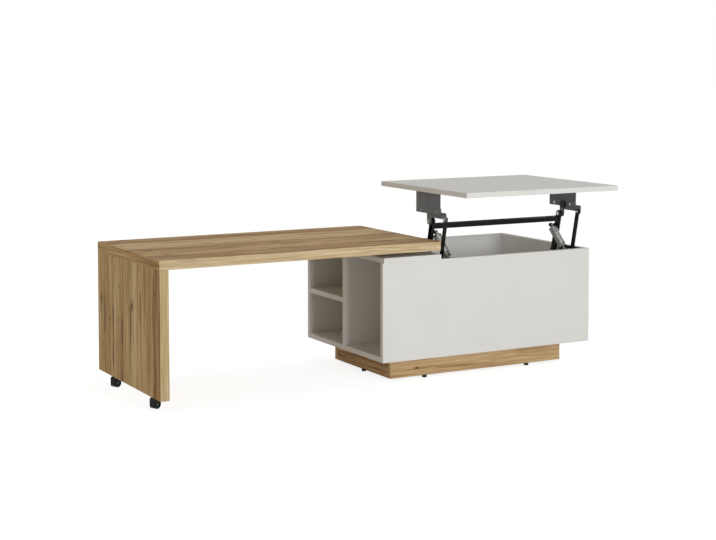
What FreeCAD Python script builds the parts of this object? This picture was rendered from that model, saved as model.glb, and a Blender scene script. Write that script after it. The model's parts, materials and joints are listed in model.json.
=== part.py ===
import FreeCAD, Part
import Sketcher
import math
import os
import re
from FreeCAD import Placement, Rotation, Vector

# A coffee table in two tones. A pale carcass with open shelves and a storage box stands on an oak plinth.
# The box's top lifts up and forward on a sprung parallel linkage. An oak table top with a leg panel on
# castors swivels on the carcass's fixed top strip. The top is shown lifted and the oak table drawn out.
# Lengths are millimetres, angles are degrees. X runs along the carcass, Y from front to rear, Z up.
# The origin is on the floor, in the middle of the table's outline.

SIZES = {
    # carcass
    "board": 16,
    "edge_round": 0.8,
    "cabinet_width": 780,
    "cabinet_depth": 509,
    "carcass_height": 307.5,
    "top_overhang": 7.5,
    "strip_width": 204.5,
    "lid_gap": 2,
    "shelf_height": 136.5,
    # plinth and floor glides
    "plinth_height": 67.5,
    "plinth_side_inset": 66,
    "plinth_depth_inset": 70,
    "glide_height": 8,
    "glide_radius": 7.5,
    "glide_spread": 195,
    # oak table
    "oak_board": 28,
    "oak_round": 1,
    "oak_length": 927,
    "oak_end_inset": 2,
    # swivel between the strip and the oak table
    "swivel_height": 12,
    "swivel_plate": 2.5,
    "swivel_side": 150,
    "swivel_ring_outer": 55,
    "swivel_ring_inner": 40,
    "swivel_lift": 0.2,
    "rivet_radius": 6,
    "rivet_head_radius": 10,
    "rivet_head": 2,
    "rivet_room": 1,
    "swivel_screw_inset": 12,
    # castors under the leg panel
    "castor_height": 38,
    "castor_front_inset": 84,
    "castor_rear_inset": 108,
    "castor_turn": 24,
    "castor_trail": 5.5,
    "wheel_radius": 13.5,
    "wheel_width": 6,
    "wheel_gap": 6,
    "wheel_round": 2.5,
    "wheel_dish": 1.5,
    "wheel_rim": 3.5,
    "axle_radius": 2.5,
    "hood_side_gap": 0.5,
    "hood_wall": 1.5,
    "hood_clearance": 1,
    "hood_skirt": 4,
    "hood_opening": 21.5,
    "hood_collar_radius": 10,
    "hood_collar": 4,
    "stem_radius": 4,
    "stem_length": 30,
    "socket_radius": 6,
    "socket_flange_radius": 11,
    "socket_flange": 1.2,
    # lift linkage: where its pins stand in the box, and its arms
    "front_pivot_depth": 38,
    "front_pivot_drop": 7.5,
    "pivot_spacing": 93,
    "pivot_fall": 13.5,
    "arm_length": 132.5,
    "arm_tilt": 12.8,
    "arm_dip": 32.8,
    "pin_radius": 4,
    "pin_clearance": 0.05,
    "pin_head_radius": 6,
    "pin_head": 1.5,
    "front_arm_width": 14,
    "front_arm": 6,
    "rear_arm_width": 22,
    "rear_arm": 8,
    "channel_wall": 2.5,
    "bar_side": 15,
    "bar_wall": 1.5,
    "bar_drop": 17,
    "steel_sheet": 2.5,
    "link_sheet": 3,
    "running_gap": 0.6,
    # lift base on the box's side walls
    "base_depth": 97,
    "base_front": 10,
    "base_rear": 14,
    "front_boss_radius": 7,
    "rear_boss_radius": 12,
    # bracket under the lifting top
    "bracket_front": 178,
    "bracket_length": 145,
    "bracket_height": 68,
    "bracket_stand": 17,
    "flange_width": 34,
    "link_strip": 21,
    "link_lip": 20,
    "link_lip_lap": 82,
    "link_end_radius": 9,
    "neck_radius": 11,
    "link_tail": 8,
    "bracket_rivet_radius": 2.5,
    "bracket_rivet_head_radius": 4.5,
    "bracket_rivet_front": 25,
    "bracket_rivet_rear": 33,
    "bracket_rivet_rise": 9,
    "boss_radius": 12,
    "boss": 6,
    "boss_place": 62,
    "boss_rise": 6,
    # tension springs
    "spring_stand": 54.75,
    "spring_pin_drop": 41,
    "spring_pin_set": 6,
    "coil_radius": 12,
    "wire": 3,
    "wire_bend": 3.5,
    "spring_turns": 16,
    "hook_reach": 17,
    "hook_eye_radius": 7,
    "hook_eye": 6,
    "hook_collar_radius": 13.5,
    "hook_collar": 2.5,
    "hook_plug_radius": 9.6,
    "hook_plug": 9,
    "hook_gap": 0.3,
    # wood screws
    "screw_radius": 2,
    "screw_length": 12,
    "screw_head_radius": 4,
    "screw_head": 2,
    "screw_inset": 11,
}

doc = FreeCAD.newDocument("coffee_table")
sheet = doc.addObject("Spreadsheet::Sheet", "Sizes")
for row, (alias, size) in enumerate(SIZES.items(), 1):
    sheet.set(f"A{row}", alias)
    sheet.set(f"B{row}", str(size))
    sheet.setAlias(f"B{row}", alias)
doc.recompute()


def bound(text):
    """An expression in plain size names, with each name tied to its cell of the sheet."""
    return re.sub(r"[a-z_]+", lambda word: f"Sizes.{word[0]}" if word[0] in SIZES else word[0], text)


def number(text):
    """The value of an expression in size names."""
    return float(sheet.evalExpression(bound(text)))


# Heights and places that several pieces share
BASE = "(glide_height + plinth_height)"
RIM = f"({BASE} + carcass_height)"
TOP_FACE = f"({RIM} + board)"
TOP_DEPTH = "(cabinet_depth + 2 * top_overhang)"
INNER_DEPTH = "(cabinet_depth - 2 * board)"
INNER_HEIGHT = "(carcass_height - board)"
BOX_RIGHT = "(cabinet_width - board)"
BAY_WIDTH = "(strip_width - board)"
MIDDLE = "(cabinet_depth / 2)"
OAK_UNDERSIDE = f"({TOP_FACE} + swivel_height)"
OAK_RIGHT = "(strip_width - oak_end_inset)"
OAK_LEFT = f"({OAK_RIGHT} - oak_length)"
LEG_MIDDLE = f"({OAK_LEFT} + oak_board / 2)"
LIFT_RISE = "(arm_length * (cos(arm_tilt) + sin(arm_dip)))"
LIFT_FORWARD = "(arm_length * (sin(arm_tilt) + cos(arm_dip)))"
LID_LEFT = "(strip_width + lid_gap)"
LID_FRONT = f"(-top_overhang - {LIFT_FORWARD})"
LID_UNDERSIDE = f"({RIM} + {LIFT_RISE})"

ORIGIN_X = f"(({OAK_LEFT} + cabinet_width) / 2)"
ORIGIN_Y = f"(({LID_FRONT} + cabinet_depth + top_overhang) / 2)"

# Pivots of the linkage: the front and rear pins in the base, and the pins in the bracket above them
FRONT_PIVOT = ("front_pivot_depth", f"({RIM} - front_pivot_drop)")
REAR_PIVOT = (f"({FRONT_PIVOT[0]} + pivot_spacing)", f"({FRONT_PIVOT[1]} - pivot_fall)")
FRONT_PIN = (
    f"({FRONT_PIVOT[0]} - arm_length * sin(arm_tilt))",
    f"({FRONT_PIVOT[1]} + arm_length * cos(arm_tilt))",
)
REAR_PIN = (f"({FRONT_PIN[0]} + pivot_spacing)", f"({FRONT_PIN[1]} - pivot_fall)")
SPRING_PIN = (
    f"({REAR_PIN[0]} + spring_pin_drop * sin(arm_tilt) + spring_pin_set * cos(arm_tilt))",
    f"({REAR_PIN[1]} - spring_pin_drop * cos(arm_tilt) + spring_pin_set * sin(arm_tilt))",
)
SPRING_RUN = f"({SPRING_PIN[0]} - {FRONT_PIVOT[0]})"
SPRING_CLIMB = f"({SPRING_PIN[1]} - {FRONT_PIVOT[1]})"

# Layers of the linkage, counted inwards from the box's side wall
LINK_AT = "(bracket_stand + steel_sheet)"
FRONT_ARM_AT = f"({LINK_AT} + link_sheet + running_gap)"
REAR_ARM_AT = f"({FRONT_ARM_AT} + front_arm + running_gap)"
REAR_ARM_END = f"({REAR_ARM_AT} + rear_arm)"
CHEEK_AT = f"({REAR_ARM_END} + running_gap)"
CHEEK_END = f"({CHEEK_AT} + steel_sheet)"
BRACKET_FRONT = f"({LID_FRONT} + bracket_front)"

parts = []


def tie(target, path, text):
    target.setExpression(path, bound(str(text)))


def spot(x, y, z):
    """A place given from the carcass's front left corner on the floor, as expressions from the origin."""
    return f"{x} - {ORIGIN_X}", f"{y} - {ORIGIN_Y}", z


def put(piece, x, y, z):
    """Ties a piece's place to sizes, given from the carcass's front left corner on the floor."""
    for axis, text in zip("xyz", spot(x, y, z)):
        tie(piece, f"Placement.Base.{axis}", text)


def lean(piece, text):
    """Tilts a piece about the X axis, towards the front when the angle is positive."""
    piece.Placement = Placement(Vector(), Rotation(Vector(1, 0, 0), number(text)))
    tie(piece, "Placement.Rotation.Angle", text)


def keep(piece, label):
    """Makes an object one of the table's pieces, written to a file of its own."""
    piece.Label = label
    parts.append(piece)
    return piece


def block(x, y, z, at=("0", "0", "0")):
    shape = doc.addObject("Part::Box", "block")
    for side, text in zip(("Length", "Width", "Height"), (x, y, z)):
        tie(shape, side, text)
    for axis, text in zip("xyz", at):
        tie(shape, f"Placement.Base.{axis}", text)
    return shape


TURNS = {"x": Rotation(Vector(0, 1, 0), 90), "y": Rotation(Vector(1, 0, 0), -90), "z": Rotation()}


def rod(radius, length, at=("0", "0", "0"), axis="z"):
    """A cylinder that starts at a point and runs along an axis."""
    shape = doc.addObject("Part::Cylinder", "rod")
    shape.Placement = Placement(Vector(), TURNS[axis])
    tie(shape, "Radius", radius)
    tie(shape, "Height", length)
    for name, text in zip("xyz", at):
        tie(shape, f"Placement.Base.{name}", text)
    return shape


def joined(*shapes):
    fuse = doc.addObject("Part::MultiFuse", "joined")
    fuse.Shapes = list(shapes)
    fuse.Refine = True
    return fuse


def group(*shapes):
    """Separate solids that share one piece."""
    compound = doc.addObject("Part::Compound", "group")
    compound.Links = list(shapes)
    return compound


def drilled(base, *tools):
    for tool in tools:
        cut = doc.addObject("Part::Cut", "drilled")
        cut.Base = base
        cut.Tool = tool
        cut.Refine = True
        base = cut
    return base


def mirrored(source):
    """The right-hand twin of a left-hand piece, across the middle of the storage box."""
    twin = doc.addObject("Part::Mirroring", "twin")
    twin.Source = source
    twin.Normal = Vector(1, 0, 0)
    tie(twin, "Base.x", f"(strip_width + {BOX_RIGHT}) / 2 - {ORIGIN_X}")
    return twin


def pair(piece, label):
    """Keeps a left-hand piece and its right-hand twin."""
    keep(piece, f"left_{label}")
    keep(mirrored(piece), f"right_{label}")


def plane(body, role):
    return next(feature for feature in body.Origin.OriginFeatures if feature.Role == role)


def board(label, corner, sides, softened="edge_round"):
    """A flat board with eased edges: a rectangle, padded, with every edge rounded."""
    body = doc.addObject("PartDesign::Body", label)
    sketch = body.newObject("Sketcher::SketchObject", f"{label}_outline")
    sketch.AttachmentSupport = [(plane(body, "XY_Plane"), "")]
    sketch.MapMode = "FlatFace"
    width, depth = number(sides[0]), number(sides[1])
    corners = [Vector(0, 0, 0), Vector(width, 0, 0), Vector(width, depth, 0), Vector(0, depth, 0)]
    for start, end in zip(corners, corners[1:] + corners[:1]):
        sketch.addGeometry(Part.LineSegment(start, end))
    rules = [("Coincident", side, 2, (side + 1) % 4, 1) for side in range(4)]
    rules += [("Horizontal", 0), ("Vertical", 1), ("Horizontal", 2), ("Vertical", 3)]
    rules.append(("Coincident", 0, 1, -1, 1))
    rules += [("DistanceX", 0, 1, 0, 2, width), ("DistanceY", 1, 1, 1, 2, depth)]
    for rule in rules:
        last = sketch.addConstraint(Sketcher.Constraint(*rule))
    tie(sketch, f"Constraints[{last - 1}]", sides[0])
    tie(sketch, f"Constraints[{last}]", sides[1])
    pad = body.newObject("PartDesign::Pad", f"{label}_pad")
    pad.Profile = sketch
    tie(pad, "Length", sides[2])
    doc.recompute()
    fillet = body.newObject("PartDesign::Fillet", f"{label}_edges")
    fillet.Base = (pad, ["Edge1"])
    fillet.UseAllEdges = True
    tie(fillet, "Radius", softened)
    body.Tip = fillet
    put(body, *corner)
    return body



def disc(label, radius, thickness, softened):
    """A round disc with both rims rounded."""
    body = doc.addObject("PartDesign::Body", label)
    sketch = body.newObject("Sketcher::SketchObject", f"{label}_outline")
    sketch.AttachmentSupport = [(plane(body, "XY_Plane"), "")]
    sketch.MapMode = "FlatFace"
    sketch.addGeometry(Part.Circle(Vector(), Vector(0, 0, 1), number(radius)))
    sketch.addConstraint(Sketcher.Constraint("Coincident", 0, 3, -1, 1))
    size_rule = sketch.addConstraint(Sketcher.Constraint("Radius", 0, number(radius)))
    tie(sketch, f"Constraints[{size_rule}]", radius)
    pad = body.newObject("PartDesign::Pad", f"{label}_pad")
    pad.Profile = sketch
    tie(pad, "Length", thickness)
    doc.recompute()
    fillet = body.newObject("PartDesign::Fillet", f"{label}_rims")
    fillet.Base = (pad, ["Edge1"])
    fillet.UseAllEdges = True
    tie(fillet, "Radius", softened)
    body.Tip = fillet
    return body


def headed(radius, length, head_radius, head, at, axis, head_first):
    """A pin or screw: a shank from a point along an axis, with a head before its start or past its end."""
    step = f"-({head})" if head_first else length
    head_at = [f"{text} + {step}" if name == axis else text for name, text in zip("xyz", at)]
    return joined(rod(radius, length, at, axis), rod(head_radius, head, head_at, axis))


# Carcass
keep(board("front", ("0", "0", BASE), ("cabinet_width", "board", "carcass_height")), "front_panel")
keep(
    board("rear", ("0", "cabinet_depth - board", BASE), ("cabinet_width", "board", "carcass_height")),
    "rear_panel",
)
keep(board("bottom", ("0", "board", BASE), (BOX_RIGHT, INNER_DEPTH, "board")), "bottom_panel")
FLOOR = f"({BASE} + board)"
keep(
    board("divider", ("0", f"{MIDDLE} - board / 2", FLOOR), (BAY_WIDTH, "board", INNER_HEIGHT)),
    "compartment_divider",
)
keep(
    board(
        "shelf",
        ("0", f"{MIDDLE} + board / 2", f"{FLOOR} + shelf_height"),
        (BAY_WIDTH, f"({INNER_DEPTH} - board) / 2", "board"),
    ),
    "compartment_shelf",
)

# Plinth and floor glides
PLINTH_WIDTH = "(cabinet_width - 2 * plinth_side_inset)"
PLINTH_DEPTH = "(cabinet_depth - 2 * plinth_depth_inset)"
PLINTH_RIGHT = "(cabinet_width - plinth_side_inset - board)"
PLINTH_REAR = "(cabinet_depth - plinth_depth_inset - board)"
for side, y in (("front", "plinth_depth_inset"), ("rear", PLINTH_REAR)):
    corner = ("plinth_side_inset", y, "glide_height")
    rail = board(f"plinth_{side}", corner, (PLINTH_WIDTH, "board", "plinth_height"))
    keep(rail, f"plinth_{side}_board")
for side, x in (("left", "plinth_side_inset"), ("right", PLINTH_RIGHT)):
    corner = (x, "plinth_depth_inset + board", "glide_height")
    rail = board(f"plinth_{side}", corner, ("board", f"{PLINTH_DEPTH} - 2 * board", "plinth_height"))
    keep(rail, f"plinth_{side}_board")
glide_places = [
    (f"cabinet_width / 2 {sign} glide_spread", f"{y} + board / 2")
    for y in ("plinth_depth_inset", PLINTH_REAR)
    for sign in "-+"
]
glide_places += [(f"{x} + board / 2", MIDDLE) for x in ("plinth_side_inset", PLINTH_RIGHT)]
keep(group(*[rod("glide_radius", "glide_height", spot(x, y, "0")) for x, y in glide_places]), "floor_glides")

# Swivel between the fixed strip and the oak top
SWIVEL_X = "(strip_width / 2)"
swivel_corner = (f"{SWIVEL_X} - swivel_side / 2", f"{MIDDLE} - swivel_side / 2")
screw_steps = ("swivel_screw_inset", "swivel_side - swivel_screw_inset")
screw_places = [
    (f"{swivel_corner[0]} + {x}", f"{swivel_corner[1]} + {y}")
    for x in screw_steps
    for y in screw_steps
]
SHANK_DEPTH = "(screw_length - swivel_plate)"
base_plate_screws = group(*[
    headed(
        "screw_radius", "screw_length", "screw_head_radius", "screw_head",
        spot(x, y, f"{TOP_FACE} - {SHANK_DEPTH}"), "z", False,
    )
    for x, y in screw_places
])
top_plate_screws = group(*[
    headed(
        "screw_radius", "screw_length", "screw_head_radius", "screw_head",
        spot(x, y, f"{OAK_UNDERSIDE} - swivel_plate"), "z", True,
    )
    for x, y in screw_places
])
RIVET_LENGTH = "(swivel_height + swivel_lift)"
rivet_foot = spot(SWIVEL_X, MIDDLE, TOP_FACE)
rivet_low_head = rod("rivet_head_radius", "rivet_head", spot(SWIVEL_X, MIDDLE, f"{TOP_FACE} - rivet_head"))
rivet = joined(
    headed("rivet_radius", RIVET_LENGTH, "rivet_head_radius", "rivet_head", rivet_foot, "z", False),
    rivet_low_head,
)
POCKET_RADIUS = "(rivet_head_radius + rivet_room)"
HEAD_ROOM = "(rivet_head + rivet_room)"
low_pocket = rod(POCKET_RADIUS, HEAD_ROOM, spot(SWIVEL_X, MIDDLE, f"{TOP_FACE} - {HEAD_ROOM}"))
high_pocket = rod(POCKET_RADIUS, f"swivel_lift + {HEAD_ROOM}", spot(SWIVEL_X, MIDDLE, OAK_UNDERSIDE))
PLATE = ("swivel_side", "swivel_side", "swivel_plate")
base_plate = block(*PLATE, spot(*swivel_corner, TOP_FACE))
top_plate = block(*PLATE, spot(*swivel_corner, f"{OAK_UNDERSIDE} - swivel_plate"))
rivet_way = rod("rivet_radius + pin_clearance", "swivel_height", rivet_foot)
ring_foot = spot(SWIVEL_X, MIDDLE, f"{TOP_FACE} + swivel_plate")
RING_HEIGHT = "(swivel_height - 2 * swivel_plate - swivel_lift)"
ring_bore = rod("swivel_ring_inner", RING_HEIGHT, ring_foot)
ring = drilled(rod("swivel_ring_outer", RING_HEIGHT, ring_foot), ring_bore)
keep(drilled(base_plate, base_plate_screws, rivet), "swivel_base_plate")
keep(drilled(top_plate, top_plate_screws, rivet_way), "swivel_top_plate")
keep(ring, "swivel_ring")
keep(rivet, "swivel_rivet")
keep(base_plate_screws, "swivel_base_screws")
keep(top_plate_screws, "swivel_top_screws")
strip = board("strip", ("0", "-top_overhang", RIM), ("strip_width", TOP_DEPTH, "board"))
keep(drilled(strip, low_pocket, base_plate_screws), "fixed_top_strip")

# Oak table and its castors
oak_corner = (OAK_LEFT, "-top_overhang", OAK_UNDERSIDE)
oak_top = board("oak", oak_corner, ("oak_length", TOP_DEPTH, "oak_board"), "oak_round")
keep(drilled(oak_top, high_pocket, top_plate_screws), "oak_top")
LEG_HEIGHT = f"({OAK_UNDERSIDE} - castor_height)"
leg_corner = (OAK_LEFT, "-top_overhang", "castor_height")
leg = board("leg", leg_corner, ("oak_board", TOP_DEPTH, LEG_HEIGHT), "oak_round")
SOCKET_DEPTH = "(stem_length + rivet_room)"
COLLAR_FOOT = "(castor_height - socket_flange - running_gap - hood_collar)"
STEM_TOP = "(castor_height + stem_length - rivet_room)"
TRACK = "(wheel_gap / 2 + wheel_width)"
WEB_WIDTH = "(wheel_gap - 2 * hood_side_gap)"
WEB_SIDE = "(hood_side_gap - wheel_gap / 2)"
WEB_LOBE = "(wheel_radius - wheel_rim)"
WEB_HEIGHT = f"({COLLAR_FOOT} - wheel_radius)"
HOOD_INNER = "(wheel_radius + hood_clearance)"
HOOD_OUTER = f"({HOOD_INNER} + hood_wall)"
HOOD_BACK = f"(castor_trail - {HOOD_OUTER})"
HOOD_FOOT = f"(wheel_radius - {HOOD_OUTER})"
sockets = []
for end, stem_y in (
    ("front", "(castor_front_inset - top_overhang)"),
    ("rear", "(cabinet_depth + top_overhang - castor_rear_inset)"),
):
    socket_foot = spot(LEG_MIDDLE, stem_y, "castor_height - socket_flange")
    sleeve = rod("socket_radius", SOCKET_DEPTH, spot(LEG_MIDDLE, stem_y, "castor_height"))
    leg = drilled(leg, sleeve)
    socket = joined(sleeve, rod("socket_flange_radius", "socket_flange", socket_foot))
    stem_way = rod("stem_radius + pin_clearance", "socket_flange + stem_length", socket_foot)
    sockets.append(drilled(socket, stem_way))
    stem = rod("stem_radius", f"{STEM_TOP} - {COLLAR_FOOT}", spot(LEG_MIDDLE, stem_y, COLLAR_FOOT))
    keep(stem, f"{end}_castor_stem")

    # The rest of the castor is made with its wheels across the Y axis, then turned about the stem
    axle_end = ("castor_trail", f"wheel_dish - {TRACK}", "wheel_radius")
    axle = rod("axle_radius", f"2 * ({TRACK} - wheel_dish)", axle_end, "y")
    hood_end = ("castor_trail", f"-{TRACK}", "wheel_radius")
    shell = drilled(
        joined(
            rod(HOOD_OUTER, f"2 * {TRACK}", hood_end, "y"),
            block(f"-2 * {HOOD_BACK}", f"2 * {TRACK}", WEB_HEIGHT, (HOOD_BACK, f"-{TRACK}", "wheel_radius")),
        ),
        rod(HOOD_INNER, f"2 * {TRACK}", hood_end, "y"),
        block(
            f"2 * {HOOD_OUTER}", f"2 * {TRACK}", f"hood_skirt - {HOOD_FOOT}",
            (HOOD_BACK, f"-{TRACK}", HOOD_FOOT),
        ),
        block(HOOD_OUTER, f"2 * {TRACK}", "hood_opening", ("castor_trail", f"-{TRACK}", "0")),
    )
    hood = joined(
        shell,
        rod(WEB_LOBE, WEB_WIDTH, ("castor_trail", WEB_SIDE, "wheel_radius"), "y"),
        block(f"castor_trail - {HOOD_BACK}", WEB_WIDTH, WEB_HEIGHT, (HOOD_BACK, WEB_SIDE, "wheel_radius")),
        rod("hood_collar_radius", "hood_collar", ("0", "0", COLLAR_FOOT)),
    )
    stem_seat = rod("stem_radius", "hood_collar", ("0", "0", COLLAR_FOOT))
    discs = []
    for sign, near, dish in (("-", TRACK, TRACK), ("", "(wheel_gap / 2)", f"({TRACK} - wheel_dish)")):
        wheel = disc(f"{end}_wheel", "wheel_radius", "wheel_width", "wheel_round")
        wheel.Placement = Placement(Vector(), TURNS["y"])
        for axis, text in zip("xyz", ("castor_trail", f"{sign}{near}", "wheel_radius")):
            tie(wheel, f"Placement.Base.{axis}", text)
        hollow_foot = ("castor_trail", f"{sign}{dish}", "wheel_radius")
        hollow = rod("wheel_radius - wheel_rim", "wheel_dish", hollow_foot, "y")
        bore_foot = ("castor_trail", f"-{TRACK}", "wheel_radius")
        bore = rod("axle_radius + pin_clearance", f"2 * {TRACK}", bore_foot, "y")
        discs.append(drilled(wheel, hollow, bore))
    for piece, name in (
        (drilled(hood, axle, stem_seat), "hood"),
        (group(*discs), "wheels"),
        (group(axle), "axle"),
    ):
        piece.Placement = Placement(Vector(), Rotation(Vector(0, 0, 1), number("castor_turn")))
        tie(piece, "Placement.Rotation.Angle", "castor_turn")
        put(piece, LEG_MIDDLE, stem_y, "0")
        keep(piece, f"{end}_castor_{name}")
keep(leg, "oak_leg")
keep(group(*sockets), "castor_sockets")

# Lift bases on the box's side walls, the left one made and then mirrored
WALL = "strip_width"
BASE_FOOT = f"({FRONT_PIVOT[1]} + front_boss_radius - base_depth)"
BASE_FRONT = f"({FRONT_PIVOT[0]} - base_front)"
BASE_LENGTH = "(base_front + pivot_spacing + base_rear)"
EYE_END = "(spring_stand + hook_eye / 2 + running_gap)"
front_pin = headed(
    "pin_radius", EYE_END, "pin_head_radius", "pin_head", spot(WALL, *FRONT_PIVOT), "x", False
)
rear_pin = headed(
    "pin_radius", f"{CHEEK_END} - {REAR_ARM_AT}", "pin_head_radius", "pin_head",
    spot(f"{WALL} + {REAR_ARM_AT}", *REAR_PIVOT), "x", False,
)
left_screws = group(*[
    headed(
        "screw_radius", "screw_length", "screw_head_radius", "screw_head",
        spot(f"{WALL} + steel_sheet - screw_length", f"{BASE_FRONT} + {y}", f"{BASE_FOOT} + {z}"), "x", False,
    )
    for y in ("screw_inset", f"{BASE_LENGTH} - screw_inset")
    for z in ("screw_inset", "base_depth / 2")
])
right_screws = mirrored(left_screws)
wall_plate = block("steel_sheet", BASE_LENGTH, "base_depth", spot(WALL, BASE_FRONT, BASE_FOOT))
floor_at = spot(f"{WALL} + steel_sheet", BASE_FRONT, BASE_FOOT)
cheek_x = f"{WALL} + {CHEEK_AT}"
CHEEK_FRONT = f"({FRONT_PIVOT[0]} - front_boss_radius)"
cheek = joined(
    block(f"{CHEEK_END} - steel_sheet", BASE_LENGTH, "steel_sheet", floor_at),
    block(
        "steel_sheet",
        "front_boss_radius + pivot_spacing + rear_boss_radius",
        f"{REAR_PIVOT[1]} - {BASE_FOOT}",
        spot(cheek_x, CHEEK_FRONT, BASE_FOOT),
    ),
    block(
        "steel_sheet",
        "2 * front_boss_radius",
        f"{FRONT_PIVOT[1]} - {BASE_FOOT}",
        spot(cheek_x, CHEEK_FRONT, BASE_FOOT),
    ),
    rod("front_boss_radius", "steel_sheet", spot(cheek_x, *FRONT_PIVOT), "x"),
    rod("rear_boss_radius", "steel_sheet", spot(cheek_x, *REAR_PIVOT), "x"),
)
pair(drilled(wall_plate, front_pin, left_screws), "base_plate")
pair(drilled(cheek, front_pin, rear_pin), "pivot_cheek")
pair(group(front_pin, rear_pin), "base_pins")
keep(group(left_screws, right_screws), "base_screws")
partition = board("inner_wall", (BAY_WIDTH, "board", FLOOR), ("board", INNER_DEPTH, INNER_HEIGHT))
keep(drilled(partition, left_screws), "partition")
right_side = board("right_side", (BOX_RIGHT, "board", BASE), ("board", INNER_DEPTH, "carcass_height"))
keep(drilled(right_side, right_screws), "right_side_panel")


def arm(width, thickness):
    """A flat steel arm with round ends and a hole at each end, standing on its lower hole."""
    half = f"({width} / 2)"
    ends = [rod(half, thickness, ("0", "0", z), "x") for z in ("0", "arm_length")]
    holes = [rod("pin_radius + pin_clearance", thickness, ("0", "0", z), "x") for z in ("0", "arm_length")]
    return drilled(joined(block(thickness, width, "arm_length", ("0", f"-{half}", "0")), *ends), *holes)


# Arms and cross bar
front_arm = arm("front_arm_width", "front_arm")
channel_foot = ("0", "channel_wall - rear_arm_width / 2", "rear_arm_width / 2")
channel = block(
    "rear_arm - channel_wall",
    "rear_arm_width - 2 * channel_wall",
    "arm_length - rear_arm_width",
    channel_foot,
)
rear_arm = drilled(arm("rear_arm_width", "rear_arm"), channel)
BAR_LENGTH = f"({BOX_RIGHT} - strip_width - 2 * {REAR_ARM_END})"
BORE_SIDE = "(bar_side - 2 * bar_wall)"
bar = drilled(
    block(BAR_LENGTH, "bar_side", "bar_side", ("0", "-bar_side / 2", "-bar_side / 2")),
    block(BAR_LENGTH, BORE_SIDE, BORE_SIDE, ("0", f"-{BORE_SIDE} / 2", f"-{BORE_SIDE} / 2")),
)
BAR_PLACE = (
    f"{REAR_PIN[0]} + bar_drop * sin(arm_tilt)",
    f"{REAR_PIN[1]} - bar_drop * cos(arm_tilt)",
)
for piece, x, place in (
    (front_arm, FRONT_ARM_AT, FRONT_PIVOT),
    (rear_arm, REAR_ARM_AT, REAR_PIVOT),
    (bar, REAR_ARM_END, BAR_PLACE),
):
    lean(piece, "arm_tilt")
    put(piece, f"{WALL} + {x}", *place)
pair(front_arm, "front_arm")
pair(rear_arm, "rear_arm")
keep(bar, "cross_bar")

# Lifting top, its brackets and link plates
BRACKET_FOOT = f"({LID_UNDERSIDE} - bracket_height)"
BRACKET_REAR = f"({BRACKET_FRONT} + bracket_length)"
BRACKET_MIDDLE = f"({BRACKET_FRONT} + bracket_length / 2)"
RIVET_Z = f"({BRACKET_FOOT} + bracket_rivet_rise)"
bracket_x = f"{WALL} + bracket_stand"
link_x = f"{WALL} + {LINK_AT}"
FLANGE_Z = f"({LID_UNDERSIDE} - steel_sheet)"
link_pins = [
    headed(
        "pin_radius", f"{FRONT_ARM_AT} + front_arm - {LINK_AT}", "pin_head_radius", "pin_head",
        spot(link_x, *FRONT_PIN), "x", True,
    ),
    joined(
        headed(
            "pin_radius", f"{REAR_ARM_END} - {LINK_AT}", "pin_head_radius", "pin_head",
            spot(link_x, *REAR_PIN), "x", True,
        ),
        rod("pin_head_radius", "pin_head", spot(f"{WALL} + {REAR_ARM_END}", *REAR_PIN), "x"),
    ),
]
left_rivets = group(*[
    headed(
        "bracket_rivet_radius", "steel_sheet + link_sheet", "bracket_rivet_head_radius", "pin_head",
        spot(bracket_x, y, RIVET_Z), "x", False,
    )
    for y in (f"{BRACKET_FRONT} + bracket_rivet_front", f"{BRACKET_REAR} - bracket_rivet_rear")
])
left_lid_screws = group(*[
    headed(
        "screw_radius", "screw_length", "screw_head_radius", "screw_head",
        spot(f"{bracket_x} + flange_width - screw_inset", y, FLANGE_Z), "z", True,
    )
    for y in (f"{BRACKET_FRONT} + screw_inset", BRACKET_MIDDLE, f"{BRACKET_REAR} - screw_inset")
])
right_lid_screws = mirrored(left_lid_screws)
bracket = joined(
    block("steel_sheet", "bracket_length", "bracket_height", spot(bracket_x, BRACKET_FRONT, BRACKET_FOOT)),
    block("flange_width", "bracket_length", "steel_sheet", spot(bracket_x, BRACKET_FRONT, FLANGE_Z)),
)
link = joined(
    rod("link_end_radius", "link_sheet", spot(link_x, *FRONT_PIN), "x"),
    rod("neck_radius", "link_sheet", spot(link_x, *REAR_PIN), "x"),
    block(
        "link_sheet", f"{BRACKET_FRONT} + link_lip_lap - {FRONT_PIN[0]} + link_end_radius", "link_lip",
        spot(link_x, f"{FRONT_PIN[0]} - link_end_radius", FRONT_PIN[1]),
    ),
    block(
        "link_sheet", "bracket_length - link_tail", "link_strip",
        spot(link_x, BRACKET_FRONT, BRACKET_FOOT),
    ),
    block(
        "link_sheet", "2 * neck_radius", f"{BRACKET_FOOT} + link_strip - {REAR_PIN[1]}",
        spot(link_x, f"{REAR_PIN[0]} - neck_radius", REAR_PIN[1]),
    ),
)
boss_at = spot(f"{link_x} + link_sheet", f"{BRACKET_FRONT} + boss_place", f"{BRACKET_FOOT} + boss_rise")
boss = rod("boss_radius", "boss", boss_at, "x")
pair(drilled(bracket, left_rivets, left_lid_screws), "top_bracket")
pair(drilled(link, *link_pins, left_rivets), "link_plate")
pair(group(*link_pins), "link_pins")
keep(group(left_rivets, mirrored(left_rivets)), "bracket_rivets")
keep(group(boss, mirrored(boss)), "link_bosses")
keep(group(left_lid_screws, right_lid_screws), "bracket_screws")
lid = board("lid", (LID_LEFT, LID_FRONT, LID_UNDERSIDE), (f"cabinet_width - {LID_LEFT}", TOP_DEPTH, "board"))
keep(drilled(lid, left_lid_screws, right_lid_screws), "lift_top")


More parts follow.
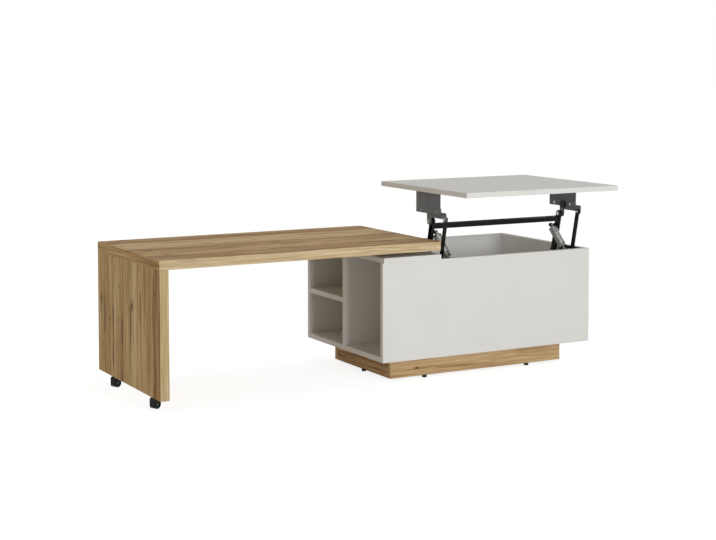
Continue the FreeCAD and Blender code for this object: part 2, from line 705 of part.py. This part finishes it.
def hook(bore):
    """A spring end: an eye, a neck, a collar that the wire meets and a plug inside the coil."""
    neck_corner = ("-hook_eye / 2", "-hook_eye / 2", "0")
    collar_z = "hook_reach - hook_collar"
    solid = joined(
        rod("hook_eye_radius", "hook_eye", ("-hook_eye / 2", "0", "0"), "x"),
        block("hook_eye", "hook_eye", collar_z, neck_corner),
        rod("hook_collar_radius", "hook_collar", ("0", "0", collar_z)),
        rod("hook_plug_radius", "hook_plug", ("0", "0", "hook_reach")),
    )
    return drilled(solid, rod(bore, "hook_eye", ("-hook_eye / 2", "0", "0"), "x"))


def arcs_between(start, heading, end, end_heading):
    """Two arcs that leave one point along a heading and reach another along its own."""
    span = end - start
    both = heading + end_heading
    turn = 2 * (1 - heading.dot(end_heading))
    reach = (math.sqrt(span.dot(both) ** 2 + turn * span.dot(span)) - span.dot(both)) / turn
    joint = (start + heading * reach + end - end_heading * reach) / 2
    return [arc_from(start, heading, joint), arc_from(end, end_heading * -1, joint)]


def arc_from(start, heading, end):
    """The arc that leaves one point along a heading and passes through another."""
    chord = end - start
    along = chord / chord.Length
    across = heading - along * heading.dot(along)
    rise = chord.Length / 2 * math.tan(heading.getAngle(chord) / 2)
    return Part.Arc(start, (start + end) / 2 + across / across.Length * rise, end)


def coil_wire(length):
    """The middle line of a tension spring's wire, from the lower collar to the upper one."""
    radius = number("coil_radius")
    bend = number("wire_bend")
    wire = number("wire")
    turns = int(number("spring_turns"))
    foot = number("hook_reach")
    low = foot + wire + bend
    pitch = (length - 2 * low) / turns
    slope = pitch / math.tau

    def at(angle):
        return Vector(radius * math.cos(angle), radius * math.sin(angle), low + slope * angle)

    def heading(angle):
        along = Vector(-radius * math.sin(angle), radius * math.cos(angle), slope)
        return along / along.Length

    up = Vector(0, 0, 1)
    last = math.tau * turns
    bottom = Vector(radius, -bend, foot)
    top = Vector(radius, bend, length - foot)
    curves = [Part.LineSegment(bottom, bottom + up * wire)]
    curves += arcs_between(bottom + up * wire, up, at(0), heading(0))
    for half in range(2 * turns):
        start, end = half * math.pi, (half + 1) * math.pi
        curves += arcs_between(at(start), heading(start), at(end), heading(end))
    curves += arcs_between(at(last), heading(last), top - up * wire, up)
    curves.append(Part.LineSegment(top - up * wire, top))
    return bottom, Part.Wire(Part.__sortEdges__([curve.toShape() for curve in curves]))


def least_gap(path, wire):
    """The least distance between the wire's own turns, measured on points along its middle line."""
    points = path.discretize(Distance=wire / 2)
    apart = int(math.pi * number("coil_radius") / (wire / 2))
    gaps = [
        (points[i] - points[j]).Length
        for i in range(len(points))
        for j in range(i + apart, min(i + 3 * apart, len(points)))
    ]
    return min(gaps) - wire


# Tension springs
SPRING_LEAN = f"(atan2({SPRING_CLIMB}; {SPRING_RUN}) - 90 deg)"
SPRING_LENGTH = f"sqrt({SPRING_RUN} ^ 2 + {SPRING_CLIMB} ^ 2)"
spring_x = f"{WALL} + spring_stand"
lower_hook = hook("pin_radius + pin_clearance")
upper_hook = hook("pin_radius")
coil = doc.addObject("Part::Feature", "coil")
wire_foot, wire_path = coil_wire(number(SPRING_LENGTH))
profile = Part.Wire(Part.Circle(wire_foot, Vector(0, 0, 1), number("wire / 2")).toShape())
coil.Shape = wire_path.makePipeShell([profile], True, False)
print("least gap between the spring's turns", round(least_gap(wire_path, number("wire")), 3))
for piece, angle, place in (
    (lower_hook, SPRING_LEAN, FRONT_PIVOT),
    (upper_hook, f"({SPRING_LEAN} + 180 deg)", SPRING_PIN),
    (coil, SPRING_LEAN, FRONT_PIVOT),
):
    lean(piece, angle)
    put(piece, spring_x, *place)
arm_face = f"{WALL} + {REAR_ARM_END} + hook_gap"
spring_pin = joined(
    headed(
        "pin_radius", f"{EYE_END} - {REAR_ARM_END} - hook_gap", "pin_head_radius", "pin_head",
        spot(arm_face, *SPRING_PIN), "x", False,
    ),
    rod("pin_head_radius", "pin_head", spot(arm_face, *SPRING_PIN), "x"),
)
pair(lower_hook, "spring_lower_hook")
pair(upper_hook, "spring_upper_hook")
pair(coil, "spring_coil")
pair(spring_pin, "spring_pin")

doc.recompute()
for item in doc.Objects:
    if {"Invalid", "Error"} & set(item.State):
        raise RuntimeError(f"{item.Label} did not recompute")
for piece in parts:
    if piece.Shape.isNull() or not piece.Shape.isValid():
        raise RuntimeError(f"{piece.Label} has no valid shape")

os.makedirs("parts", exist_ok=True)
for piece in parts:
    piece.Shape.exportStep(f"parts/{piece.Label}.step")
print(len(parts), "pieces written")
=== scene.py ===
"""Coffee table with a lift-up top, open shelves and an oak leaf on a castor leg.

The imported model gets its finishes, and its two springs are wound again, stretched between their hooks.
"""

import json
import math

import bmesh
import bpy
from mathutils import Matrix, Vector


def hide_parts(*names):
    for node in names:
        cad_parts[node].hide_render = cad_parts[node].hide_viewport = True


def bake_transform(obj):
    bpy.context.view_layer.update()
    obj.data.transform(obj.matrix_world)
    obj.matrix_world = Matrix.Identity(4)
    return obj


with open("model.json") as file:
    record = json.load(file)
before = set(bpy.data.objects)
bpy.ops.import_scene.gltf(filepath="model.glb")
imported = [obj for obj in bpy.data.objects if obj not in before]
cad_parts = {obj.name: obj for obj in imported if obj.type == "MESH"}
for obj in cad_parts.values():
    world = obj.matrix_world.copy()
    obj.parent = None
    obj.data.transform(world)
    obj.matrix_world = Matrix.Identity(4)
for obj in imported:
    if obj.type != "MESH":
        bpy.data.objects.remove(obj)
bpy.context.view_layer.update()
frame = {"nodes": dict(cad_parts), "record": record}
scene = bpy.context.scene
scene.view_settings.view_transform = "Standard"

MM = 0.001
# Sockets of a Mix node that mixes colours, and of one that mixes vectors
COLOUR_A, COLOUR_B, COLOUR_OUT = 6, 7, 2
VECTOR_A, VECTOR_B, VECTOR_OUT = 4, 5, 1


def linear(code):
    """The linear colour of an sRGB hex value."""
    parts = [int(code[i : i + 2], 16) / 255 for i in (0, 2, 4)]
    return (*[c / 12.92 if c <= 0.04045 else ((c + 0.055) / 1.055) ** 2.4 for c in parts], 1.0)


def add(tree, kind, settings=None, links=None):
    """Adds a node. Settings name an input or a property, and links an input and the socket that feeds it."""
    node = tree.nodes.new(kind)
    for key, value in (settings or {}).items():
        if isinstance(key, int) or key in node.inputs:
            node.inputs[key].default_value = value
        else:
            setattr(node, key, value)
    for key, socket in (links or {}).items():
        tree.links.new(socket, node.inputs[key])
    return node


def stops(ramp, *marks):
    """Gives a Color Ramp its colours: each mark is a place from 0 to 1 and an sRGB hex value."""
    band = ramp.color_ramp
    while len(band.elements) < len(marks):
        band.elements.new(0.5)
    for element, (place, code) in zip(band.elements, marks):
        element.position = place
        element.color = linear(code)
    return ramp.outputs["Color"]


def finish(name, **plain):
    """A material, its node tree and its shader, whose plain sockets are set."""
    material = bpy.data.materials.new(name)
    material.use_nodes = True
    tree = material.node_tree
    shader = tree.nodes["Principled BSDF"]
    for socket, value in plain.items():
        shader.inputs[socket.replace("_", " ")].default_value = value
    return material, tree, shader


# How squarely a facet faces along the board's grain, width or depth to count as its end, edge or face
SQUARE_ON = 0.6
PLANK_WIDTH = 80 * MM
# The grain wavers by about a centimetre over half a metre
SWAY_PER_METRE, SWAY = (2.2, 7, 7), (0, 22 * MM, 22 * MM)
# Streaks 35 mm, 8 mm and 3 mm wide, and veins 6 mm wide: how often each repeats in a metre along the grain,
# across it and through the board, and its detail
GRAIN_LAYERS = (((1.6, 28, 28), 2), ((3, 120, 120), 3), ((9, 330, 330), 2), ((2.6, 170, 170), 1))
PLANK_WEIGHT, BROAD_WEIGHT, STREAK_WEIGHT = 0.22, 0.4, 0.8
FIBRE_SHARE = 0.7
# How often a joint's slits open and close in a metre, along the joint and from joint to joint
SLITS_PER_METRE = (5, 9, 0)
# Drying cracks 76 by 11 mm, knots 32 by 16 mm and small knots 17 by 6 mm, as far as they are half dark: the
# cells in a metre along and across the grain, a mark's core and rim in its cell, and the share of cells that
# hold one
MARKS = (
    ((2.1, 15, 0), 0.04, 0.12, 0.2),
    ((4.4, 9, 0), 0.03, 0.11, 0.4),
    ((9, 24, 0), 0.03, 0.12, 0.25),
)
MARK_SHARE = 0.85
VEIN_BROWN, SLIT_BROWN, MARK_BROWN = "6E4B22", "583608", "573711"


def oak_foil(name, grain, width, depth, shift, tones, bands, painted_light=0):
    """Sawn oak printed on melamine foil over chipboard: planks of several tones, long streaks, dark drying
    cracks and small knots, with lighter and plainer edge bands.

    Grain, width and depth are the board's own directions, and shift is where in the print it was cut. Tones
    and bands are the colours of its face and its edge bands, and the last argument is painted light that
    lightens all but the board's ends, standing in for the light that falls on its faces.
    """
    material, tree, shader = finish(name, IOR=1.5, Specular_IOR_Level=0.07)
    turn = Matrix((grain, width, depth)).to_euler()
    place = add(tree, "ShaderNodeTexCoord").outputs["Object"]
    on_board = add(
        tree, "ShaderNodeMapping", {"Location": shift, "Rotation": turn}, {"Vector": place}
    ).outputs[0]
    normal = add(tree, "ShaderNodeNewGeometry").outputs["True Normal"]
    normal = add(
        tree, "ShaderNodeVectorTransform",
        {"vector_type": "NORMAL", "convert_from": "WORLD", "convert_to": "OBJECT"}, {"Vector": normal},
    ).outputs[0]
    normal = add(tree, "ShaderNodeMapping", {"Rotation": turn}, {"Vector": normal}).outputs[0]
    normal = add(tree, "ShaderNodeVectorMath", {"operation": "ABSOLUTE"}, {0: normal}).outputs[0]
    facing = add(tree, "ShaderNodeSeparateXYZ", None, {0: normal}).outputs
    on_end, on_edge, on_face = [
        add(tree, "ShaderNodeMath", {"operation": "GREATER_THAN", 1: SQUARE_ON}, {0: facing[way]}).outputs[0]
        for way in "XYZ"
    ]
    # an end's band is cut from a strip, so its grain runs across the board
    across = add(
        tree, "ShaderNodeMapping", {"Rotation": (0, 0, math.radians(90))}, {"Vector": on_board}
    ).outputs[0]
    on_board = add(
        tree, "ShaderNodeMix", {"data_type": "VECTOR"}, {0: on_end, VECTOR_A: on_board, VECTOR_B: across}
    ).outputs[VECTOR_OUT]
    slow = add(
        tree, "ShaderNodeVectorMath", {"operation": "MULTIPLY", 1: SWAY_PER_METRE}, {0: on_board}
    ).outputs[0]
    sway = add(tree, "ShaderNodeTexNoise", {"Scale": 1, "Detail": 2}, {"Vector": slow}).outputs["Color"]
    swayed = add(
        tree, "ShaderNodeVectorMath", {"operation": "MULTIPLY_ADD", 1: SWAY}, {0: sway, 2: on_board}
    ).outputs[0]
    # planks of different tones, side by side
    side_by_side = add(tree, "ShaderNodeSeparateXYZ", None, {0: on_board}).outputs["Y"]
    planks = {"voronoi_dimensions": "1D", "Scale": 1 / PLANK_WIDTH, "Randomness": 0.75}
    plank = add(tree, "ShaderNodeTexVoronoi", planks, {"W": side_by_side}).outputs["Color"]
    plank_tone = add(tree, "ShaderNodeSeparateColor", None, {0: plank}).outputs[0]
    from_joint = add(
        tree, "ShaderNodeTexVoronoi", {**planks, "feature": "DISTANCE_TO_EDGE"}, {"W": side_by_side}
    ).outputs["Distance"]
    layers = []
    for spread, detail in GRAIN_LAYERS:
        spread = add(
            tree, "ShaderNodeVectorMath", {"operation": "MULTIPLY", 1: spread}, {0: swayed}
        ).outputs[0]
        layer = add(
            tree, "ShaderNodeTexNoise", {"Scale": 1, "Detail": detail, "Roughness": 0.6}, {"Vector": spread}
        )
        layers.append(layer.outputs["Fac"])
    broad, streak, fibre, veins = layers
    # painted light: all but the ends start lighter by the given share
    tone = add(
        tree, "ShaderNodeMath", {"operation": "MULTIPLY_ADD", 1: -painted_light, 2: painted_light}, {0: on_end}
    ).outputs[0]
    for layer, weight in ((plank_tone, PLANK_WEIGHT), (broad, BROAD_WEIGHT), (streak, STREAK_WEIGHT)):
        tone = add(
            tree, "ShaderNodeMath", {"operation": "MULTIPLY_ADD", 1: weight}, {0: layer, 2: tone}
        ).outputs[0]
    face_colour = stops(
        add(tree, "ShaderNodeValToRGB", None, {"Fac": tone}), *zip((0.54, 0.62, 0.7, 0.78, 0.86), tones)
    )
    edge_colour = stops(add(tree, "ShaderNodeValToRGB", None, {"Fac": tone}), *zip((0.54, 0.7, 0.86), bands))
    colour = add(
        tree, "ShaderNodeMix", {"data_type": "RGBA"},
        {0: on_edge, COLOUR_A: face_colour, COLOUR_B: edge_colour},
    ).outputs[COLOUR_OUT]
    fibre_tone = stops(
        add(tree, "ShaderNodeValToRGB", None, {"Fac": fibre}), (0.3, "C8C0B4"), (0.62, "FFFFFF")
    )
    colour = add(
        tree, "ShaderNodeMix", {"data_type": "RGBA", "blend_type": "MULTIPLY", 0: FIBRE_SHARE},
        {COLOUR_A: colour, COLOUR_B: fibre_tone},
    ).outputs[COLOUR_OUT]
    # long dark veins
    vein = add(
        tree, "ShaderNodeMapRange", {"From Min": 0.28, "From Max": 0.38, "To Min": 0.6, "To Max": 0},
        {"Value": veins},
    ).outputs[0]
    # planks meet in a brown line of 2 mm that opens into slits up to 15 mm wide and about 100 mm long
    along = add(
        tree, "ShaderNodeVectorMath", {"operation": "MULTIPLY", 1: SLITS_PER_METRE}, {0: on_board}
    ).outputs[0]
    along = add(tree, "ShaderNodeTexNoise", {"Scale": 1, "Detail": 2}, {"Vector": along}).outputs["Fac"]
    breadth = add(
        tree, "ShaderNodeMapRange", {"From Min": 0.44, "From Max": 0.66, "To Min": 0.02, "To Max": 0.14},
        {"Value": along},
    ).outputs[0]
    slit = add(tree, "ShaderNodeMath", {"operation": "DIVIDE"}, {0: from_joint, 1: breadth}).outputs[0]
    slit = add(
        tree, "ShaderNodeMapRange", {"From Min": 0.3, "From Max": 1, "To Min": 1, "To Max": 0},
        {"Value": slit},
    ).outputs[0]
    darkness = add(
        tree, "ShaderNodeMapRange", {"From Min": 0.42, "From Max": 0.66, "To Min": 0.15, "To Max": 0.8},
        {"Value": along},
    ).outputs[0]
    slit = add(tree, "ShaderNodeMath", {"operation": "MULTIPLY"}, {0: slit, 1: darkness}).outputs[0]
    # drying cracks and knots
    marks = []
    for spread, core, rim, share in MARKS:
        spread = add(
            tree, "ShaderNodeVectorMath", {"operation": "MULTIPLY", 1: spread}, {0: swayed}
        ).outputs[0]
        cell = add(
            tree, "ShaderNodeTexVoronoi", {"voronoi_dimensions": "2D", "Scale": 1, "Randomness": 1},
            {"Vector": spread},
        )
        lot = add(tree, "ShaderNodeSeparateColor", None, {0: cell.outputs["Color"]}).outputs[0]
        chosen = add(tree, "ShaderNodeMath", {"operation": "LESS_THAN", 1: share}, {0: lot}).outputs[0]
        near = add(
            tree, "ShaderNodeMapRange", {"From Min": core, "From Max": rim, "To Min": 1, "To Max": 0},
            {"Value": cell.outputs["Distance"]},
        ).outputs[0]
        marks.append(add(tree, "ShaderNodeMath", {"operation": "MULTIPLY"}, {0: near, 1: chosen}).outputs[0])
    dark = marks[0]
    for mark in marks[1:]:
        dark = add(tree, "ShaderNodeMath", {"operation": "MAXIMUM"}, {0: dark, 1: mark}).outputs[0]
    dark = add(tree, "ShaderNodeMath", {"operation": "MULTIPLY", 1: MARK_SHARE}, {0: dark}).outputs[0]
    # all three are printed on the faces alone
    printed = []
    for share, brown in ((vein, VEIN_BROWN), (slit, SLIT_BROWN), (dark, MARK_BROWN)):
        share = add(tree, "ShaderNodeMath", {"operation": "MULTIPLY"}, {0: share, 1: on_face}).outputs[0]
        printed.append(share)
        colour = add(
            tree, "ShaderNodeMix", {"data_type": "RGBA", COLOUR_B: linear(brown)},
            {0: share, COLOUR_A: colour},
        ).outputs[COLOUR_OUT]
    tree.links.new(colour, shader.inputs["Base Color"])
    gloss = add(tree, "ShaderNodeMapRange", {"To Min": 0.66, "To Max": 0.5}, {"Value": fibre}).outputs[0]
    tree.links.new(gloss, shader.inputs["Roughness"])
    # the fibres stand up, and the cracks and knots are pressed in
    relief = add(tree, "ShaderNodeMath", {"operation": "SUBTRACT"}, {0: fibre, 1: printed[-1]}).outputs[0]
    bump = add(
        tree, "ShaderNodeBump", {"Strength": 0.35, "Distance": 0.4 * MM}, {"Height": relief}
    ).outputs[0]
    tree.links.new(bump, shader.inputs["Normal"])
    return material


def pale_foil():
    """Pale grey melamine foil over chipboard: matt, faintly cloudy, with a fine press grain."""
    material, tree, shader = finish("pale_melamine", IOR=1.5, Specular_IOR_Level=0.22)
    place = add(tree, "ShaderNodeTexCoord").outputs["Object"]
    # clouds 150 mm across, and a press grain of 0.5 mm drawn at 3 mm so that it shows
    cloud = add(tree, "ShaderNodeTexNoise", {"Scale": 6.5, "Detail": 3}, {"Vector": place}).outputs["Fac"]
    grain = add(
        tree, "ShaderNodeTexNoise", {"Scale": 330, "Detail": 2, "Roughness": 0.6}, {"Vector": place}
    ).outputs["Fac"]
    tone = add(
        tree, "ShaderNodeMath", {"operation": "MULTIPLY_ADD", 1: 0.35}, {0: grain, 2: cloud}
    ).outputs[0]
    colour = stops(
        add(tree, "ShaderNodeValToRGB", None, {"Fac": tone}),
        (0.4, "E2DFDA"), (0.68, "E4E1DC"), (0.95, "E7E4DF"),
    )
    tree.links.new(colour, shader.inputs["Base Color"])
    gloss = add(tree, "ShaderNodeMapRange", {"To Min": 0.46, "To Max": 0.58}, {"Value": grain}).outputs[0]
    tree.links.new(gloss, shader.inputs["Roughness"])
    bump = add(
        tree, "ShaderNodeBump", {"Strength": 0.12, "Distance": 0.15 * MM}, {"Height": grain}
    ).outputs[0]
    tree.links.new(bump, shader.inputs["Normal"])
    return material


def coated(name, codes, rough, grit, relief, **plain):
    """A coated, plated or moulded surface: its tone varies in patches 22 mm across, and a fine skin of the
    given grit and relief breaks up its gloss, which lies between the two values of rough."""
    material, tree, shader = finish(name, **plain)
    place = add(tree, "ShaderNodeTexCoord").outputs["Object"]
    patch = add(tree, "ShaderNodeTexNoise", {"Scale": 45, "Detail": 4}, {"Vector": place}).outputs["Fac"]
    skin = add(tree, "ShaderNodeTexNoise", {"Scale": 1 / grit, "Detail": 2}, {"Vector": place}).outputs["Fac"]
    colour = stops(add(tree, "ShaderNodeValToRGB", None, {"Fac": patch}), (0.35, codes[0]), (0.7, codes[1]))
    tree.links.new(colour, shader.inputs["Base Color"])
    gloss = add(
        tree, "ShaderNodeMapRange", {"To Min": rough[0], "To Max": rough[1]}, {"Value": skin}
    ).outputs[0]
    tree.links.new(gloss, shader.inputs["Roughness"])
    bump = add(tree, "ShaderNodeBump", {"Strength": 0.3, "Distance": relief}, {"Height": skin}).outputs[0]
    tree.links.new(bump, shader.inputs["Normal"])
    return material


ALONG, DEEP, UP = (1, 0, 0), (0, 1, 0), (0, 0, 1)
LEFTWARDS, FORWARDS = (-1, 0, 0), (0, -1, 0)
OAK_TONES = ("9C7547", "B8915D", "CBA772", "D8B985", "E4CA9A")
RAIL_TONES = ("B0885E", "C49E73", "D1AF83", "D9BA8F", "DFC299")
LIGHT_BANDS, DARK_BANDS = ("D0B68E", "E0CAA3", "EDD9B6"), ("C6AB7E", "D5BE92", "E2CDA5")
oak_leaf = oak_foil("oak_foil_leaf", ALONG, DEEP, UP, (0.31, 0.07, 0), OAK_TONES, LIGHT_BANDS)
oak_upright = oak_foil("oak_foil_upright", UP, DEEP, LEFTWARDS, (0.9, 0.52, 0), OAK_TONES, DARK_BANDS)
# the rail's faces, all but their ends, get 0.15 of painted light
oak_rail = oak_foil("oak_foil_rail", ALONG, UP, FORWARDS, (0.2, 0.3, 0), RAIL_TONES, DARK_BANDS, 0.15)
oak_side_rail = oak_foil("oak_foil_side_rail", DEEP, UP, ALONG, (0.6, 0.1, 0), RAIL_TONES, DARK_BANDS)

# The skins are finer than a pixel, so they are drawn at about 2 mm
FINISHES = {
    "pale_laminate": pale_foil(),
    # epoxy powder coat: half matt, with an orange-peel skin that blurs its highlights
    "black_steel": coated(
        "black_powder_coat", ("070708", "0E0E0F"), (0.3, 0.46), 2.2 * MM, 0.2 * MM,
        IOR=1.5, Specular_IOR_Level=0.16,
    ),
    "grey_steel": coated(
        "grey_powder_coat", ("64666A", "6E7074"), (0.4, 0.55), 2.2 * MM, 0.15 * MM,
        IOR=1.5, Specular_IOR_Level=0.3,
    ),
    # bright zinc plate on steel: a clean metal with a faint spangle
    "zinc_steel": coated(
        "zinc_plate", ("A9A9A6", "C4C4C0"), (0.26, 0.42), 1.6 * MM, 0.1 * MM, Metallic=1
    ),
    # moulded nylon and acetal: satin, from a finely eroded mould
    "black_plastic": coated(
        "black_nylon", ("060607", "0C0C0D"), (0.3, 0.42), 1.8 * MM, 0.15 * MM,
        IOR=1.53, Specular_IOR_Level=0.16,
    ),
    "white_plastic": coated(
        "white_acetal", ("D9D8D2", "E4E3DE"), (0.34, 0.46), 1.8 * MM, 0.1 * MM, IOR=1.48
    ),
}
# Boards whose grain runs each its own way, and zinc axle ends given the darker grey coat as painted shade,
# for the shade in their hoods
GRAIN_AND_PAINTED_SHADE = {
    "oak_top": oak_leaf,
    "oak_leg": oak_upright,
    "plinth_front_board": oak_rail,
    "plinth_rear_board": oak_rail,
    "plinth_left_board": oak_side_rail,
    "plinth_right_board": oak_side_rail,
    # painted shade: the zinc axle ends take the darker grey coat
    "front_castor_axle": FINISHES["grey_steel"],
    "rear_castor_axle": FINISHES["grey_steel"],
}
for part in frame["record"]["subparts"]:
    node = frame["nodes"][part["node"]]
    dress = GRAIN_AND_PAINTED_SHADE.get(part["node"]) or FINISHES[part["material_slot"]]
    if node.material_slots:
        node.material_slots[0].material = dress
    else:
        node.data.materials.append(dress)

# Tension springs, in millimetres as the source has them: the wire leaves the lower collar, winds and meets
# the upper one
COIL_RADIUS, WIRE, BEND, TURNS, HOOK_REACH = 12, 3, 3.5, 16, 17
SPRING_FOOT, SPRING_HEAD = Vector((0, -146.135, 375.5)), Vector((0, -67.555, 452.56))
SPRING_SIDES = {"left": 231.5, "right": 681.5}
STEPS_A_TURN, STEPS_A_BEND, WIRE_SIDES = 24, 5, 10
MERGE = WIRE / 1000


def wound_spring(side):
    """One spring's wire, wound by spinning its round section, and stretched between its two hooks."""
    axis = SPRING_HEAD - SPRING_FOOT
    low = HOOK_REACH + WIRE + BEND
    high = axis.length - low
    steps = TURNS * STEPS_A_TURN
    shape = bmesh.new()
    foot = Matrix.Translation((COIL_RADIUS, -BEND, HOOK_REACH))
    bmesh.ops.create_circle(shape, segments=WIRE_SIDES, radius=WIRE / 2, matrix=foot)
    end = [*shape.verts, *shape.edges]

    def drawn_up():
        edges = [e for e in end if isinstance(e, bmesh.types.BMEdge)]
        out = bmesh.ops.extrude_edge_only(shape, edges=edges)["geom"]
        verts = [v for v in out if isinstance(v, bmesh.types.BMVert)]
        bmesh.ops.translate(shape, verts=verts, vec=(0, 0, WIRE))
        return [e for e in out if not isinstance(e, bmesh.types.BMFace)]

    def spun(centre, about, angle, count, rise=0):
        return bmesh.ops.spin(
            shape, geom=end, cent=centre, axis=about, angle=angle, steps=count, dvec=(0, 0, rise)
        )["geom_last"]

    end = drawn_up()
    end = spun((COIL_RADIUS, 0, low - BEND), ALONG, -math.pi / 2, STEPS_A_BEND)
    end = spun((0, 0, 0), UP, math.tau * TURNS, steps, (high - low) / steps)
    end = spun((COIL_RADIUS, 0, high + BEND), ALONG, math.pi / 2, STEPS_A_BEND)
    end = drawn_up()
    bmesh.ops.remove_doubles(shape, verts=shape.verts, dist=MERGE)
    bmesh.ops.holes_fill(shape, edges=shape.edges, sides=WIRE_SIDES)
    bmesh.ops.recalc_face_normals(shape, faces=shape.faces)
    lean = Vector(UP).rotation_difference(axis).to_matrix().to_4x4()
    at = Matrix.Translation((SPRING_SIDES[side], *SPRING_FOOT.yz))
    bmesh.ops.transform(shape, matrix=Matrix.Scale(MM, 4) @ at @ lean, verts=shape.verts)
    mesh = bpy.data.meshes.new(f"{side}_wound_spring")
    shape.to_mesh(mesh)
    shape.free()
    mesh.shade_smooth()
    mesh.materials.append(FINISHES["zinc_steel"])
    piece = bpy.data.objects.new(f"{side}_wound_spring", mesh)
    scene.collection.objects.link(piece)
    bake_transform(piece)
    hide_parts(f"{side}_spring_coil")


for side in SPRING_SIDES:
    wound_spring(side)


def seen_plainly(tree):
    """1 on rays from the camera, a mirror or glass, and 0 on the rays that light the object."""
    path = add(tree, "ShaderNodeLightPath").outputs
    seen = add(
        tree, "ShaderNodeMath", {"operation": "MAXIMUM"}, {0: path["Is Camera Ray"], 1: path["Is Glossy Ray"]}
    ).outputs[0]
    return add(
        tree, "ShaderNodeMath", {"operation": "MAXIMUM"}, {0: seen, 1: path["Is Transmission Ray"]}
    ).outputs[0]


def studio_floor():
    """A floor that the camera, mirrors and glass see as white paper, with the object's soft shadow on it."""
    shape = bmesh.new()
    bmesh.ops.create_grid(shape, x_segments=1, y_segments=1, size=30)
    mesh = bpy.data.meshes.new("studio_floor")
    shape.to_mesh(mesh)
    shape.free()
    floor = bpy.data.objects.new("studio_floor", mesh)
    scene.collection.objects.link(floor)
    material, tree, shader = finish("white_paper")
    tree.nodes.remove(shader)
    seen = seen_plainly(tree)
    bounce = add(tree, "ShaderNodeBsdfDiffuse", {"Color": linear("F4F1EA")}).outputs[0]
    # the paper glows nearly white, and its grey part takes the shadow
    shaded = add(tree, "ShaderNodeBsdfDiffuse", {"Color": linear("B4B4B4")}).outputs[0]
    glow = add(tree, "ShaderNodeEmission", {"Color": linear("FFFFFF"), "Strength": 0.82}).outputs[0]
    paper = add(tree, "ShaderNodeAddShader", None, {0: shaded, 1: glow}).outputs[0]
    both = add(tree, "ShaderNodeMixShader", None, {0: seen, 1: bounce, 2: paper}).outputs[0]
    tree.links.new(both, tree.nodes["Material Output"].inputs["Surface"])
    mesh.materials.append(material)


LAMP_TARGET = Vector((0.1, 0, 0.3))
LAMP_TINT = (0.86, 0.93, 1)
# Each lamp's place, its width in metres and its watts
LAMPS = {
    "front_lamp": ((0.1, -4.6, 1.1), 1.1, 84),
    "top_lamp": ((0.4, 0.4, 4.2), 3, 12),
}


def studio_light():
    """A white room, warmer and brighter near the floor, with a soft lamp in front and a weak one above."""
    world = bpy.data.worlds.new("white_room")
    world.use_nodes = True
    scene.world = world
    tree = world.node_tree
    room = tree.nodes["Background"]
    height = add(tree, "ShaderNodeTexCoord").outputs["Generated"]
    height = add(tree, "ShaderNodeSeparateXYZ", None, {0: height}).outputs["Z"]
    tone = stops(add(tree, "ShaderNodeValToRGB", None, {"Fac": height}), (0, "C2BCB3"), (1, "ABADAD"))
    tree.links.new(tone, room.inputs["Color"])
    white = add(tree, "ShaderNodeBackground", {"Color": linear("FFFFFF"), "Strength": 1}).outputs[0]
    both = add(
        tree, "ShaderNodeMixShader", None, {0: seen_plainly(tree), 1: room.outputs[0], 2: white}
    ).outputs[0]
    tree.links.new(both, tree.nodes["World Output"].inputs["Surface"])
    for name, (place, size, power) in LAMPS.items():
        data = bpy.data.lights.new(name, "AREA")
        data.shape, data.size, data.energy = "DISK", size, power
        data.color = LAMP_TINT
        lamp = bpy.data.objects.new(name, data)
        lamp.location = place
        lamp.rotation_euler = (LAMP_TARGET - lamp.location).to_track_quat("-Z", "Y").to_euler()
        scene.collection.objects.link(lamp)


# The camera's place, tilt, turn and lens, fitted to the photograph's corners
CAMERA_PLACE = (-2.30145, -4.20236, 1.00543)
CAMERA_TILT, CAMERA_TURN = math.radians(90 - 3.5), math.radians(-29.2528)
LENS, SENSOR, SHIFT_X, SHIFT_Y = 76.825, 36, -0.02547, -0.165


def studio_camera():
    """The photograph's view: from the front left and a little above the raised top, with a shifted lens."""
    data = bpy.data.cameras.new("camera")
    data.sensor_width, data.lens = SENSOR, LENS
    data.shift_x, data.shift_y = SHIFT_X, SHIFT_Y
    camera = bpy.data.objects.new("camera", data)
    camera.location = CAMERA_PLACE
    camera.rotation_euler = (CAMERA_TILT, 0, CAMERA_TURN)
    scene.collection.objects.link(camera)
    scene.camera = camera


studio_floor()
studio_light()
studio_camera()
